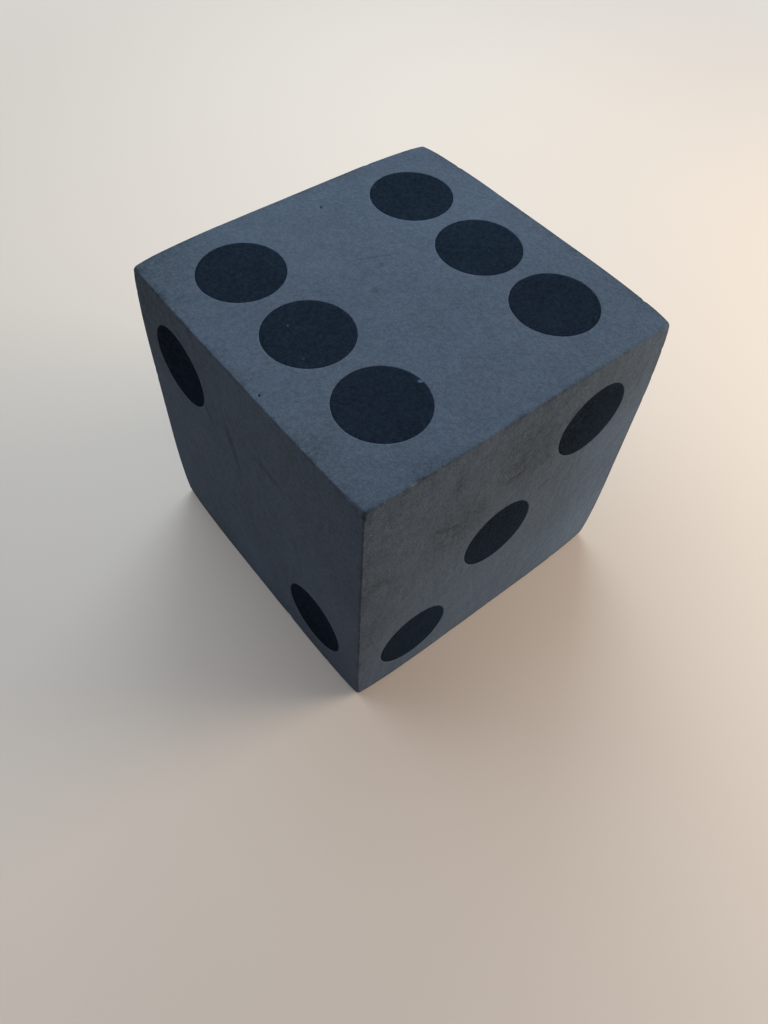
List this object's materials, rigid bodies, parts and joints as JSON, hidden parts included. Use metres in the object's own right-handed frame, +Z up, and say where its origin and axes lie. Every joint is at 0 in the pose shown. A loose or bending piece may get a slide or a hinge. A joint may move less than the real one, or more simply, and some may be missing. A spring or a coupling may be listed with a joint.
{
  "type": "foam play dice",
  "caption": "Large play dice of soft closed-cell foam, cut nearly to a cube, with round dark foam pips laid flush into its six faces; it stands on any face.",
  "frame": {"origin": "middle of the face that the dice rests on, the face with one pip", "axes": "+Z up, out of the face with six pips; +X out of the face with five pips; +Y out of the face with four pips; the face with three pips looks along -Y and the face with two pips along -X"},
  "size_m": [0.16, 0.159, 0.1555],
  "materials": {
    "block_foam": "matte fine-cell foam, dark slate grey, slightly mottled",
    "pip_foam": "matte fine-cell foam, near black"
  },
  "bodies": {
    "root": {"foam_block": "block_foam", "pip_one_1": "pip_foam", "pip_two_1": "pip_foam", "pip_two_2": "pip_foam", "pip_three_1": "pip_foam", "pip_three_2": "pip_foam", "pip_three_3": "pip_foam", "pip_four_1": "pip_foam", "pip_four_2": "pip_foam", "pip_four_3": "pip_foam", "pip_four_4": "pip_foam", "pip_five_1": "pip_foam", "pip_five_2": "pip_foam", "pip_five_3": "pip_foam", "pip_five_4": "pip_foam", "pip_five_5": "pip_foam", "pip_six_1": "pip_foam", "pip_six_2": "pip_foam", "pip_six_3": "pip_foam", "pip_six_4": "pip_foam", "pip_six_5": "pip_foam", "pip_six_6": "pip_foam"}
  },
  "joints": []
}
